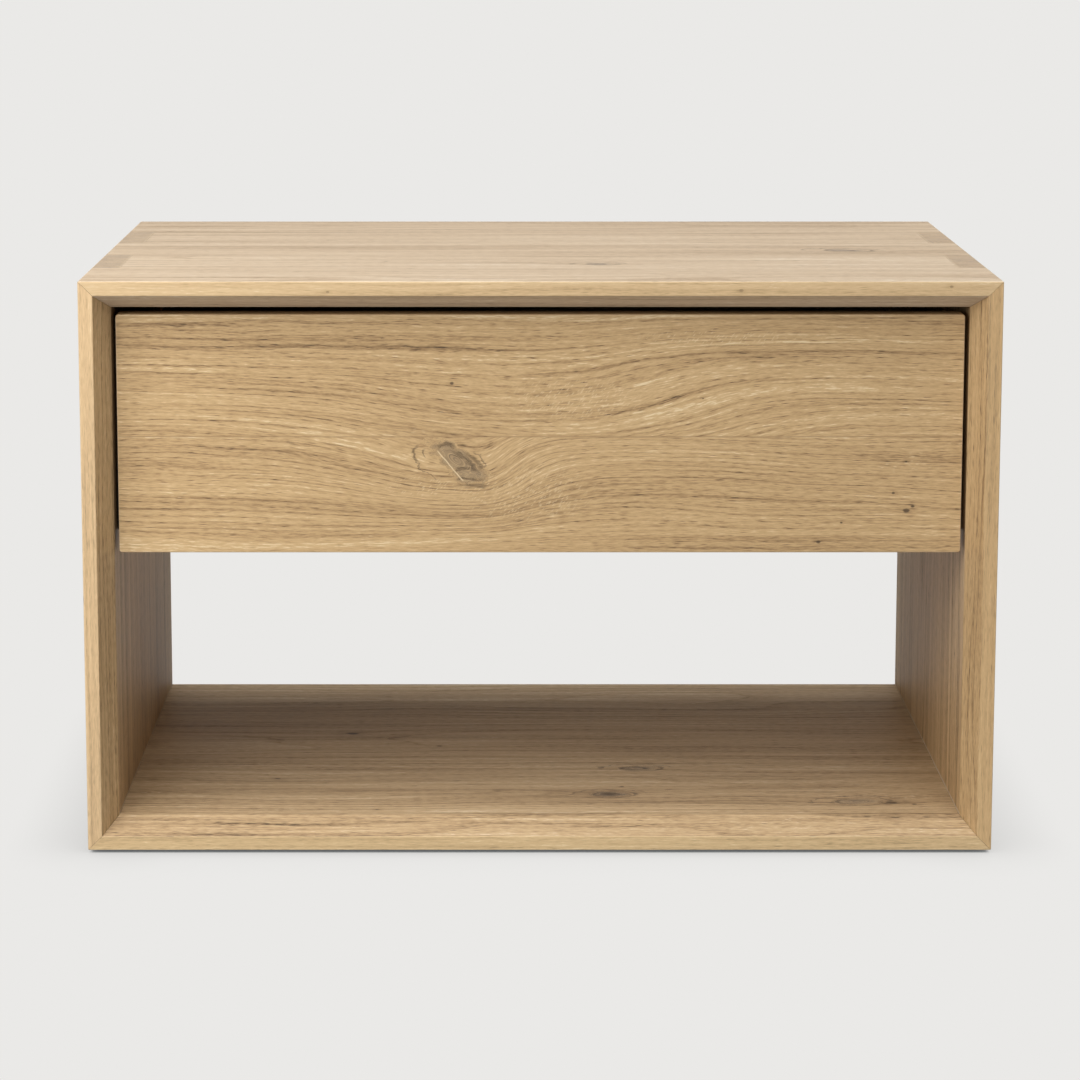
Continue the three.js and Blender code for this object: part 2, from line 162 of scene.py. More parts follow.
class Term:
    """A socket that takes part in arithmetic. Each operation adds its Math node."""

    def __init__(self, finish, socket):
        self.finish, self.socket = finish, socket

    def maths(self, operation, *terms):
        return self.finish.add("ShaderNodeMath", {"operation": operation}, dict(enumerate(terms)))

    def __add__(self, other):
        return self.maths("ADD", self, other)

    def __sub__(self, other):
        return self.maths("SUBTRACT", self, other)

    def __rsub__(self, other):
        return self.maths("SUBTRACT", other, self)

    def __mul__(self, other):
        return self.maths("MULTIPLY", self, other)

    def __truediv__(self, other):
        return self.maths("DIVIDE", self, other)

    def __gt__(self, other):
        return self.maths("GREATER_THAN", self, other)

    def __lt__(self, other):
        return self.maths("LESS_THAN", self, other)

    def __abs__(self):
        return self.maths("ABSOLUTE", self)

    __radd__, __rmul__ = __add__, __mul__

    def exp(self):
        return self.maths("EXPONENT", self)

    def fraction(self):
        return self.maths("FRACT", self)

    def floor(self):
        return self.maths("FLOOR", self)

    def sine(self):
        return self.maths("SINE", self)

    def least(self, other):
        return self.maths("MINIMUM", self, other)

    def most(self, other):
        return self.maths("MAXIMUM", self, other)

    def reach(self, other):
        """Length of the hypotenuse over this and another term."""
        return self.maths("POWER", self * self + other * other, 0.5)

    def rise(self, low, high, start=0, end=1):
        """Smoothly from 0 at low to 1 at high."""
        sockets = {0: self, 1: low, 2: high, 3: start, 4: end}
        return self.finish.add("ShaderNodeMapRange", {"interpolation_type": "SMOOTHSTEP"}, sockets)

    def fall(self, low, high):
        """Smoothly from 1 at low to 0 at high."""
        return self.rise(low, high, 1, 0)


class Finish:
    """A material while it is being made. add() makes any node and the rest are shorthands for it."""

    def __init__(self, name):
        self.material = bpy.data.materials.new(name)
        self.material.use_nodes = True
        self.tree = self.material.node_tree
        self.tree.nodes.clear()

    def add(self, kind, settings=None, sockets=None, output=0):
        node = self.tree.nodes.new(kind)
        for key, value in (settings or {}).items():
            if key == "stops":
                self.set_stops(node.color_ramp, value)
            else:
                setattr(node, key, value)
        for key, value in (sockets or {}).items():
            if isinstance(value, Term):
                self.tree.links.new(value.socket, node.inputs[key])
            else:
                node.inputs[key].default_value = value
        return Term(self, node.outputs[output])

    def set_stops(self, ramp, stops):
        while len(ramp.elements) < len(stops):
            ramp.elements.new(0.5)
        for element, (position, colour) in zip(ramp.elements, stops):
            element.position, element.color = position, (*colour, 1.0)

    def ramp(self, factor, *stops):
        """A colour that runs through the stops, each a position and a colour."""
        return self.add("ShaderNodeValToRGB", {"stops": stops}, {0: factor})

    def place(self):
        """The three Object coordinates, in millimetres."""
        whole = self.add("ShaderNodeTexCoord", output="Object")
        split = self.add("ShaderNodeSeparateXYZ", {}, {0: whole})
        outputs = split.socket.node.outputs
        return [Term(self, outputs[axis]) * (1 / MM) for axis in AXES]

    def vector(self, *parts):
        return self.add("ShaderNodeCombineXYZ", {}, dict(enumerate(parts)))

    def noise(self, parts, detail=2.0, roughness=0.5):
        """Cloudy noise, from -0.5 to 0.5, with features about one unit across."""
        sockets = {"Vector": self.vector(*parts), "Scale": 1.0, "Detail": detail, "Roughness": roughness}
        return self.add("ShaderNodeTexNoise", {}, sockets) - 0.5

    def cells(self, parts, output="Distance"):
        sockets = {"Vector": self.vector(*parts), "Scale": 1.0}
        return self.add("ShaderNodeTexVoronoi", {}, sockets, output)

    def chance(self, term):
        """A number from 0 to 1 that is different for each whole number."""
        return self.add("ShaderNodeTexWhiteNoise", {"noise_dimensions": "1D"}, {"W": term})

    def chances(self, term):
        """Three such numbers."""
        colour = self.add("ShaderNodeTexWhiteNoise", {"noise_dimensions": "1D"}, {"W": term}, "Color")
        split = self.add("ShaderNodeSeparateColor", {}, {0: colour})
        return [Term(self, output) for output in split.socket.node.outputs[:3]]

    def mix(self, factor, first, second, blend="MIX"):
        first, second = (c if isinstance(c, Term) else (*c, 1.0) for c in (first, second))
        settings = {"data_type": "RGBA", "blend_type": blend}
        return self.add("ShaderNodeMix", settings, {0: factor, 6: first, 7: second}, 2)

    def done(self, colour, roughness, height=None, relief=0.1 * MM, strength=1.0, **fixed):
        """Joins up the shader: height is the surface relief, in units of relief."""
        sockets = {"Base Color": colour, "Roughness": roughness, **fixed}
        if height is not None:
            bump = {"Height": height, "Distance": relief, "Strength": strength}
            sockets["Normal"] = self.add("ShaderNodeBump", {}, bump)
        shader = self.add("ShaderNodeBsdfPrincipled", {}, sockets)
        self.add_output(shader)
        return self.material

    def add_output(self, shader):
        end = self.tree.nodes.new("ShaderNodeOutputMaterial")
        self.tree.links.new(shader.socket, end.inputs["Surface"])


# ---- Oak

class Board:
    """How one board is sawn: which way its grain runs and what shows in it.

    Places are in millimetres from the board's lowest corner, along the grain, across it and through it.
    seams are where staves are glued edge to edge, each a place across the grain.
    heart is where the middle of the rings lies: how far across from each stave's middle, and how deep.
    flows are (along, across, reach before, reach after, reach across, dip): lines dip round a knot.
    knots are (along, across, length, width, turn): an eye of grey wood.
    arcs are (along, across, length, width, turn, facing, span, thickness): a dark curved line in a knot.
    cracks are (along, across, length, turn): a pale hairline.
    flecks are (along, across, reach along, reach across): where ray flecks show.
    pins are (along, across, through, radius): a pin knot.
    """

    def __init__(self, node, grain, across, seed, seams=(), heart=(60.0, 40.0), flows=(), knots=(), arcs=(),
                 cracks=(), flecks=(), pins=(), tint=(1.0, 1.0, 1.0), contrast=1.0, extras=None):
        self.node, self.seed = node, seed
        self.grain, self.across = AXES.index(grain), AXES.index(across)
        self.through = 3 - self.grain - self.across
        self.seams, self.heart, self.flows, self.knots, self.arcs = seams, heart, flows, knots, arcs
        self.cracks, self.flecks, self.pins = cracks, flecks, pins
        self.tint, self.contrast, self.extras = tint, contrast, extras
        self.low, self.high = (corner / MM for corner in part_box(node))


def from_ends(board, axis, place):
    """How far a point is from the nearer of the board's two ends along an axis."""
    middle = (board.low[axis] + board.high[axis]) / 2
    reach = (board.high[axis] - board.low[axis]) / 2
    return reach - abs(place[axis] - middle)


def board_edges(finish, place, board):
    """1 on the edges of the board's box and 0 a little way in, for wear and a painted highlight where the
    arrises catch the light.
    """
    a, b, c = (from_ends(board, axis, place) for axis in range(3))
    second = a.least(b).most(a.most(b).least(c))
    ragged = finish.noise([part / 9 for part in place], 3.0) * 0.9
    return (second + ragged).fall(0.25, 1.5)


def stave_values(board, across):
    """The stave's number, its middle and how near a glue line is."""
    edges = [0.0, *board.seams, board.high[board.across] - board.low[board.across]]
    middles = [(a + b) / 2 for a, b in zip(edges, edges[1:])]
    number, middle, glue = across * 0, across * 0 + middles[0], across * 0
    for seam, before, after in zip(board.seams, middles, middles[1:]):
        past = across > seam
        number = number + past
        middle = middle + past * (after - before)
        glue = glue.most(abs(across - seam).fall(0.2, 0.8))
    return number, middle, glue


def dipped(board, along, across, number):
    """The place across the grain that the fibres keep to, after they dip round knots."""
    flowing = across
    for place, height, before, after, spread, dip in board.flows:
        run = along - place
        reach = (run > 0.0) * (after - before) + before
        run, rise = run / reach, (across - height) / spread
        stave = sum(height > seam for seam in board.seams)
        same = abs(number - stave) < 0.5
        flowing = flowing + (0 - run * run - rise * rise).exp() * same * dip
    return flowing


def ellipse(along, across, place, height, length, width, turn):
    """Along and across as shares of a turned ellipse's half axes, and the distance in those shares."""
    run, rise = along - place, across - height
    far = (run * math.cos(turn) + rise * math.sin(turn)) / length
    wide = (rise * math.cos(turn) - run * math.sin(turn)) / width
    return far, wide, far.reach(wide)


def knot_eyes(board, along, across, line, wander):
    """How much of a point is knot or near one, and the lines across the grain, curled round the knots."""
    eye, near_eye = along * 0, along * 0
    for place, height, length, width, turn in board.knots:
        _, _, distance = ellipse(along, across, place, height, length, width, turn)
        ragged = distance + wander * 1.6
        inside = ragged.fall(0.55, 1.2)
        eye = eye.most(inside)
        near_eye = near_eye.most(ragged.fall(0.9, 2.6))
        line = line + (distance * width * 1.8 - line) * inside
    return eye, near_eye, line


def knot_arcs(board, along, across, wander):
    """Dark curved lines, each a stretch of an ellipse."""
    dark = along * 0
    for place, height, length, width, turn, facing, span, thickness in board.arcs:
        far, wide, distance = ellipse(along, across, place, height, length, width, turn)
        line = abs(distance - 1 + wander * 0.5) * width
        ahead = (far * math.cos(facing) + wide * math.sin(facing)) / distance
        stretch = ahead.rise(math.cos(span), math.cos(span * 0.4))
        dark = dark.most(line.fall(thickness * 0.2, thickness) * stretch)
    return dark


def ringed_knot(place, height, length, width, turn=0.0):
    """The arcs of a small knot: its dark heart's rim, and fainter lines that curl round it."""
    arcs = []
    for step, reach in enumerate((0.45, 0.9, 1.5, 2.1)):
        facing = 0.9 + step * 2.4
        arcs.append((place, height, length * reach, width * reach, turn, facing, 2.0, 1.3 - step * 0.16))
    return tuple(arcs)


def hairline_cracks(board, along, across, wander):
    pale = along * 0
    for place, height, length, turn in board.cracks:
        far, wide, _ = ellipse(along, across, place, height, 1.0, 1.0, turn)
        thin = abs(wide + wander * 0.8).fall(0.2, 0.55)
        pale = pale.most(thin * abs(far).fall(length * 0.42, length * 0.5))
    return pale


def pin_knots(board, along, across, through, wander):
    dark, halo = along * 0, along * 0
    for place, height, depth, radius in board.pins:
        flat = (along - place) / (radius * 1.4)
        rise = (across - height).reach(through - depth) / radius
        distance = flat.reach(rise) + wander * 1.2
        dark = dark.most(distance.fall(0.4, 1.0))
        halo = halo.most(distance.fall(0.8, 3.4))
    return dark, halo


def ray_flecks(finish, board, along, across, deep):
    """Silvery flecks where a ray breaks the surface: in a few patches, and aslant near the board's flecks."""
    patch = finish.noise([along / 60 + board.seed, across / 18, deep / 18], 1.0).rise(0.16, 0.27)
    ray = finish.cells([along / 5, across / 1.6, deep / 1.6]).fall(0.12, 0.36) * patch
    zone = along * 0
    for place, height, length, width in board.flecks:
        zone = zone.most(((along - place) / length).reach((across - height) / width).fall(0.4, 1.2))
    if board.flecks:
        slanted = [(along * 0.7 + across * 0.7) / 4.2, (across * 0.7 - along * 0.7) / 1.1, deep / 1.1]
        ray = ray.most(finish.cells(slanted).fall(0.14, 0.4) * zone)
    return ray


def growth_rings(finish, board, number, shifted, line, middle, deep, through):
    """Darkness of the early wood at each growth ring, with a sharp edge on one side."""
    first, second, third = finish.chances(number * 7 + board.seed + 0.5)
    aside, depth = board.heart
    across_heart = line - middle - aside * ((first > 0.5) * 2 - 1) + (second - 0.5) * 50
    below = through + depth * (0.6 + third)
    slow = finish.noise([shifted / 380, line / 90, deep / 90], 2.0)
    radius = across_heart.reach(below) + slow * 24
    drift = finish.noise([shifted / 900, radius / 8, deep / 200], 2.0)
    phase = radius / bpy.context.scene.bedside_oak.ring_pitch + drift * 3.0
    vigour = finish.chance(phase.floor() + board.seed) * 0.8 + 0.2
    cycle = phase.fraction()
    return cycle.fall(0.0, 0.5).most(cycle.rise(0.9, 1.0)) * vigour


def oak(board):
    """Solid oak with growth rings, pores, staves, knots and end grain, all cut from one solid pattern."""
    look = bpy.context.scene.bedside_oak
    finish = Finish(f"oak {board.node}")
    place = finish.place()
    along, across, through = (
        place[axis] - board.low[axis] for axis in (board.grain, board.across, board.through))
    number, middle, glue = stave_values(board, across)
    first, second, third = finish.chances(number + board.seed)
    shifted, deep = along + first * 3000, through + third * 700
    wander = finish.noise([shifted / 8, across / 4.5, through / 4.5], 3.0, 0.6)

    # Lines of the grain: straight, with slow waves, dipping round the knots and curling in them.
    waves = finish.noise([shifted / 150, across / 34, deep / 34], 2.0)
    line = dipped(board, along, across, number) + waves * 7
    eye, near_eye, line = knot_eyes(board, along, across, line, wander)
    ring = growth_rings(finish, board, number, shifted, line, middle, deep, through)

    # Bands, streaks, fibres and pores, each finer than the last and long with the grain.
    band = finish.noise([shifted / 420, line / 15, deep / 15], 3.0, 0.55)
    streak = finish.noise([shifted / 170, line / 1.5, deep / 1.5], 4.0, 0.62)
    fibre = finish.noise([shifted / 7, line / 0.62, deep / 0.62], 2.0, 0.6)
    dash = [shifted / 9 + streak * 3, line / 0.66, deep / 0.66]
    lot = finish.add("ShaderNodeSeparateColor", {}, {0: finish.cells(dash, "Color")})
    pore = finish.cells(dash).fall(0.1, 0.45) * (lot < ring * 0.55 + 0.16)
    pit = finish.cells([shifted / 4.2, line / 0.7, deep / 0.7]).fall(0.12, 0.45)
    ray = ray_flecks(finish, board, along, across, deep)

    arcs = knot_arcs(board, along, across, wander)
    crack = hairline_cracks(board, along, across, wander)
    pin, halo = pin_knots(board, along, across, through, wander)
    end = from_ends(board, board.grain, place).fall(0.1, 0.5)
    wear_and_highlight = board_edges(finish, place, board)

    figure = band * 0.8 + streak * 0.95 + fibre * 1.0 - ring * 0.27 - pore * 0.4 - pit * 0.08
    tone = figure * board.contrast + 0.675 + (second - 0.5) * 0.2 - halo * 0.12 - near_eye * 0.05
    colour = finish.ramp(
        tone, (0.0, look.pore), (0.28, look.early), (0.55, look.middle), (0.85, look.late), (1.0, look.fleck))
    colour = finish.mix(ray * 0.5, colour, look.fleck)
    colour = finish.mix(eye * (0.5 - streak * 1.5 - fibre), colour, look.knot)
    colour = finish.mix(arcs * (0.6 - streak - fibre), colour, look.pore)
    colour = finish.mix(pin * 0.85, colour, look.pore)
    colour = finish.mix(glue * 0.45, colour, look.early)
    colour = finish.mix(crack * 0.8, colour, look.fleck)
    # The tint is the board's own tone; on the top it also holds a painted sheen, and on the shelf painted
    # shade.
    colour = finish.mix(1.0, colour, board.tint, "MULTIPLY")
    colour = finish.mix(end * (0.5 + ring * 0.4 + fibre * 0.8 - pore * 0.2), colour, look.end_grain)
    # Partly wear, partly a painted highlight: the board's edges are made paler, as where the arrises catch
    # the light.
    colour = finish.mix(wear_and_highlight * 0.22, colour, look.fleck)
    if board.extras:
        colour = board.extras(finish, colour, place)

    height = fibre * 0.7 + streak * 0.4 - pore * 0.8 - pit * 0.15 - pin * 2.0 - glue * 0.5 - arcs * 0.6
    roughness = 0.5 + fibre * 0.16 + pore * 0.2 + ring * 0.05 - ray * 0.1 - wear_and_highlight * 0.08 + end * 0.12
    return finish.done(colour, roughness, height, relief=0.1 * MM, strength=0.8)


def carcass_extras(edge, bead_level=None):
    """What a carcass panel shows besides its wood: a paler flat front edge, partly the look of fresh sanding
    and partly a painted highlight where the light falls on it, and glue at the shelf.

    edge is how much paler its flat front edge is made, a painted highlight, for each of red, green and blue.
    bead_level is the shelf's height, where a fine line of squeezed-out glue shows on a side panel's inner
    face.
    """
    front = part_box("side_panel_left")[0].y / MM
    bevel_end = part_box("drawer_front")[0].y / MM
    inner_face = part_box("back_panel")[1].x / MM + 0.5

    def add_extras(finish, colour, place):
        # Painted highlight, with a look of fresh sanding: the flat front edge is made paler, as where the
        # light falls on it, and its grain is softened.
        sanding_and_highlight = (place[1] - front).fall(0.05, 0.35)
        colour = finish.mix(sanding_and_highlight * 0.45, colour, (0.56, 0.40, 0.225))
        colour = finish.mix(sanding_and_highlight, colour, edge, "MULTIPLY")
        if bead_level is None:
            return colour
        above = place[2] - bead_level + finish.noise([place[1] / 18, place[2] / 18, 0.0], 3.0) * 0.6
        inside = (abs(place[0]) < inner_face) * (place[1] > bevel_end)
        bead = abs(above).fall(0.8, 1.7) * inside
        return finish.mix(bead * 0.7, colour, (0.66, 0.58, 0.46))
    return add_extras


# ---- Other finishes

def coated_steel():
    look = bpy.context.scene.bedside_fittings
    finish = Finish("black coated steel")
    x, y, z = finish.place()
    cloud = finish.noise([x / 14, y / 40, z / 14], 3.0)
    grit = finish.noise([x / 0.4, y / 0.4, z / 0.4], 2.0)
    rubbed = finish.noise([x / 1.2, y / 60, z / 1.2], 4.0, 0.6).rise(0.12, 0.4)
    colour = finish.mix(cloud.rise(-0.3, 0.4) * 0.5, look.steel, [part * 2.2 for part in look.steel])
    colour = finish.mix(rubbed * 0.35, colour, (0.10, 0.10, 0.105))
    roughness = 0.38 + cloud * 0.18 + rubbed * 0.12
    return finish.done(colour, roughness, grit, relief=0.02 * MM, strength=0.5, Metallic=0.25)


def plated_zinc():
    look = bpy.context.scene.bedside_fittings
    finish = Finish("zinc plating")
    x, y, z = finish.place()
    cloud = finish.noise([x / 3, y / 3, z / 3], 3.0)
    drawn = finish.noise([x / 0.3, y / 9, z / 0.3], 3.0)
    colour = finish.mix(cloud.rise(-0.3, 0.4), look.zinc, (0.46, 0.45, 0.42))
    roughness = 0.3 + cloud * 0.2 + drawn * 0.12
    return finish.done(colour, roughness, drawn, relief=0.01 * MM, strength=0.4, Metallic=1.0)


def pressed_felt():
    look = bpy.context.scene.bedside_fittings
    finish = Finish("pressed felt")
    x, y, z = finish.place()
    tuft = finish.noise([x / 0.9, y / 0.9, z / 0.9], 5.0, 0.75)
    lint = finish.noise([x / 0.2, y / 1.6, z / 0.4], 3.0, 0.6).rise(0.05, 0.3)
    colour = finish.mix(tuft.rise(-0.3, 0.3), [part * 0.6 for part in look.felt], look.felt)
    colour = finish.mix(lint * 0.4, colour, (0.16, 0.145, 0.13))
    return finish.done(colour, 0.92 + tuft * 0.1, tuft, relief=0.4 * MM)


def moulded_rubber():
    look = bpy.context.scene.bedside_fittings
    finish = Finish("moulded rubber")
    x, y, z = finish.place()
    bloom = finish.noise([x / 5, y / 5, z / 5], 3.0)
    grit = finish.noise([x / 0.35, y / 0.35, z / 0.35], 2.0)
    colour = finish.mix(bloom.rise(-0.2, 0.35) * 0.6, look.rubber, (0.045, 0.044, 0.042))
    return finish.done(colour, 0.75 + bloom * 0.2, grit, relief=0.05 * MM)


def birch_ply(node):
    """Pale rotary-cut face veneer, with its layers showing on the edges."""
    finish = Finish("birch plywood")
    x, y, z = finish.place()
    low, high = (corner.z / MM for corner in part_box(node))
    contour = finish.noise([x / 210, y / 34, 0.0], 2.0) * 26 + x * 0.004
    figure = ((contour + y / 15).sine() * 0.5 + 0.5)
    fibre = finish.noise([x / 30, y / 0.8, z / 0.8], 4.0, 0.65)
    fleck = finish.cells([x / 3.2, y / 0.7, z / 0.7]).fall(0.1, 0.3)
    colour = finish.mix(figure * 0.45, (0.72, 0.57, 0.37), (0.60, 0.44, 0.26))
    colour = finish.mix((fibre + fleck * 0.3).rise(-0.2, 0.6) * 0.35, colour, (0.46, 0.32, 0.18))
    layer = ((z - low) / 1.2 * math.pi).sine().rise(-0.2, 0.2)
    sawn = (z - low).least(high - z).rise(0.05, 0.3)
    colour = finish.mix(sawn * layer * 0.5, colour, (0.30, 0.20, 0.11))
    return finish.done(colour, 0.5 + fibre * 0.15, fibre - fleck * 0.3, relief=0.05 * MM)


def turned_beech():
    finish = Finish("beech dowel")
    x, y, z = finish.place()
    fibre = finish.noise([x / 12, y / 0.5, z / 0.5], 4.0, 0.6)
    fleck = finish.cells([x / 1.6, y / 0.5, z / 0.5]).fall(0.1, 0.35)
    colour = finish.mix(fibre.rise(-0.3, 0.4), (0.66, 0.47, 0.29), (0.50, 0.33, 0.19))
    colour = finish.mix(fleck * 0.5, colour, (0.33, 0.20, 0.11))
    return finish.done(colour, 0.6 + fibre * 0.15, fibre - fleck * 0.4, relief=0.06 * MM)


# ---- Mesh work

def only(piece):
    """Selects one object and makes it the active one."""
    bpy.ops.object.select_all(action="DESELECT")
    piece.select_set(True)
    bpy.context.view_layer.objects.active = piece


def keep_place():
    """Moves the place of what is selected into its mesh."""
    bpy.ops.object.transform_apply(location=True, rotation=True, scale=True)


def choose(piece, kind, wanted):
    """In edit mode, selects just the edges or faces whose corners are wanted."""
    bpy.ops.mesh.select_mode(type=kind)
    bpy.ops.mesh.select_all(action="DESELECT")
    mesh = bmesh.from_edit_mesh(piece.data)
    for part in (mesh.edges if kind == "EDGE" else mesh.faces):
        if wanted([vert.co for vert in part.verts]):
            part.select_set(True)
    bmesh.update_edit_mesh(piece.data)


def near(value, *targets):
    return any(abs(value - target) < TOUCH for target in targets)


def board_copy(node, name):
    """A copy of a CAD board with its loose triangles welded back into whole faces."""
    piece = bpy.data.objects.new(name, frame["nodes"][node].data.copy())
    piece.data.name = name
    bpy.context.collection.objects.link(piece)
    only(piece)
    bpy.ops.object.mode_set(mode="EDIT")
    bpy.ops.mesh.select_all(action="SELECT")
    bpy.ops.mesh.remove_doubles(threshold=WELD)
    bpy.ops.mesh.dissolve_limited(angle_limit=math.radians(0.3))
    bpy.ops.object.mode_set(mode="OBJECT")
    return piece


def new_block(name, low, high):
    """A cube primitive from one corner to another, with its place in its mesh."""
    bpy.ops.object.select_all(action="DESELECT")
    bpy.ops.mesh.primitive_cube_add(size=1, location=(low + high) / 2, scale=high - low)
    piece = bpy.context.object
    piece.name = piece.data.name = name
    keep_place()
    return piece


def ease(piece, radius, wanted, segments=3):
    """Rounds the edges whose two ends are wanted."""
    only(piece)
    bpy.ops.object.mode_set(mode="EDIT")
    choose(piece, "EDGE", wanted)
    bpy.ops.mesh.bevel(offset=radius, offset_type="OFFSET", segments=segments, affect="EDGES")
    bpy.ops.object.mode_set(mode="OBJECT")


def rounding_block(nodes, radius):
    """A block just round these nodes, with every edge rounded, for trimming what shares its corners."""
    boxes = [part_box(node) for node in nodes]
    hair = Vector((HAIR, HAIR, HAIR))
    low = Vector(min(box[0][axis] for box in boxes) for axis in range(3)) - hair
    high = Vector(max(box[1][axis] for box in boxes) for axis in range(3)) + hair
    block = new_block("rounding block", low, high)
    ease(block, radius, lambda ends: True)
    return block


def apply_boolean(piece, cutter, operation):
    only(piece)
    cut = piece.modifiers.new(operation, "BOOLEAN")
    cut.operation, cut.solver, cut.object = operation, "EXACT", cutter
    bpy.ops.object.modifier_apply(modifier=cut.name)


def settle(piece, node, material):
    """Gives a finished piece its finish and puts it in its CAD node's place."""
    piece.data.materials.clear()
    piece.data.materials.append(material)
    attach(piece, body_of(node))
    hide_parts(node)


def body_of(node):
    bodies = frame["record"]["behaviour"]["bodies"]
    return next(body for body, nodes in bodies.items() if node in nodes)


def dress(node, material):
    """Gives a CAD node that keeps its own shape a better finish."""
    slots = frame["nodes"][node].data.materials
    slots.clear()
    slots.append(material)


# ---- Pieces

def carcass_boards():
    """How each panel of the carcass is sawn and what shows in it."""
    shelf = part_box("bottom_panel")[1].z / MM
    thickness = (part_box("top_panel")[1].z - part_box("top_panel")[0].z) / MM
    return [
        Board("top_panel", "X", "Y", 3, seams=(62, 152, 217, 312), heart=(40.0, 60.0),
              knots=((341, 103, 9, 5, 0.1), (515, 191, 14, 6, -0.15)),
              arcs=(*ringed_knot(341, 103, 9, 5), *ringed_knot(515, 191, 14, 6, -0.15)),
              flows=((341, 103, 50, 40, 16, 8), (515, 191, 60, 50, 20, 9)),
              pins=((430, 0, thickness - 6, 1.3), (566, 0, thickness - 3.5, 1.0),
                    (162, 0, thickness - 7, 1.0), (196, 120, thickness, 1.0), (150, 262, thickness, 0.9)),
              # The top's tint is a painted sheen: it pales and blues the whole top, as white light reflected
              # at a low angle does.
              tint=(0.93, 1.04, 1.34), contrast=0.85, extras=carcass_extras((1.2, 1.15, 1.0))),
        Board("bottom_panel", "X", "Y", 11, seams=(24, 85, 171, 270), heart=(20.0, 50.0),
              knots=((349, 72, 13, 7, 0.0), (516, 53, 15, 7, 0.1), (370, 142, 14, 6, 0.0)),
              arcs=(*ringed_knot(349, 72, 12, 6), *ringed_knot(516, 53, 15, 7, 0.1),
                    *ringed_knot(370, 142, 12, 5)),
              flows=((349, 72, 60, 50, 18, 10), (516, 53, 70, 50, 20, 10), (119, 113, 50, 60, 14, 6)),
              pins=((349, 72, thickness, 5.0), (540, 50, thickness, 3.5), (119, 113, thickness, 2.0),
                    (191, 32, thickness, 1.2), (554, 46, thickness, 1.6), (166, 242, thickness, 4.0),
                    (358, 92, thickness, 1.6), (230, 205, thickness, 1.6)),
              # The shelf's tint is painted shade: it darkens the whole shelf, which lies in shade inside the
              # open bay.
              tint=(0.84, 0.86, 0.90), contrast=1.15, extras=carcass_extras((1.28, 1.29, 1.22))),
        Board("side_panel_left", "Z", "Y", 23, seams=(150,), heart=(90.0, 34.0), tint=(0.97, 0.98, 0.97),
              extras=carcass_extras((1.25, 1.25, 1.27), shelf)),
        Board("side_panel_right", "Z", "Y", 37, seams=(118, 262), heart=(70.0, 48.0), tint=(0.97, 0.95, 0.9),
              pins=((120, 60, 0, 1.2),), extras=carcass_extras((1.1, 1.06, 0.98), shelf)),
    ]


class BEDSIDE_OT_carcass(bpy.types.Operator):
    """Makes the four panels of the carcass, softened along their edges"""

    bl_idname = "bedside.carcass"
    bl_label = "Carcass Panels"

    def execute(self, context):
        look = context.scene.bedside_oak
        block = rounding_block(CARCASS_PANELS, look.arris)
        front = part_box("side_panel_left")[0].y
        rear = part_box("side_panel_left")[1].y
        bevel_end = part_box("drawer_front")[0].y
        for board in carcass_boards():
            piece = board_copy(board.node, f"oak_{board.node}")

            def inside_arris(ends):
                level = [end.y for end in ends]
                on_line = all(near(y, front) for y in level) or all(near(y, bevel_end) for y in level)
                on_line = on_line or all(near(y, rear) for y in level)
                return on_line and is_lengthwise(ends, board.grain) and not outermost(ends, board)

            ease(piece, look.inner_arris, inside_arris, segments=2)
            apply_boolean(piece, block, "INTERSECT")
            settle(piece, board.node, oak(board))
        bpy.data.objects.remove(block)
        return {"FINISHED"}


def is_lengthwise(ends, axis):
    a, b = ends
    return all(near(a[other], b[other]) for other in range(3) if other != axis)


def outermost(ends, board):
    """True if an edge lies on the carcass's outer face, where the rounding block trims it."""
    low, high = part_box("top_panel")[0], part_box("top_panel")[1]
    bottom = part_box("bottom_panel")[0].z
    faces = {0: (low.x, high.x), 2: (bottom, high.z)}
    return all(near(end[board.through], *faces[board.through]) for end in ends)


class BEDSIDE_OT_back_panel(bpy.types.Operator):
    """Makes the back panel behind the drawer"""

    bl_idname = "bedside.back_panel"
    bl_label = "Back Panel"

    def execute(self, context):
        look = context.scene.bedside_oak
        board = Board("back_panel", "X", "Z", 51, seams=(70,), heart=(30.0, 40.0))
        piece = board_copy(board.node, "oak_back_panel")
        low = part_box(board.node)[0].z
        ease(piece, look.inner_arris, lambda ends: all(near(end.z, low) for end in ends)
             and is_lengthwise(ends, 0), segments=2)
        settle(piece, board.node, oak(board))
        return {"FINISHED"}


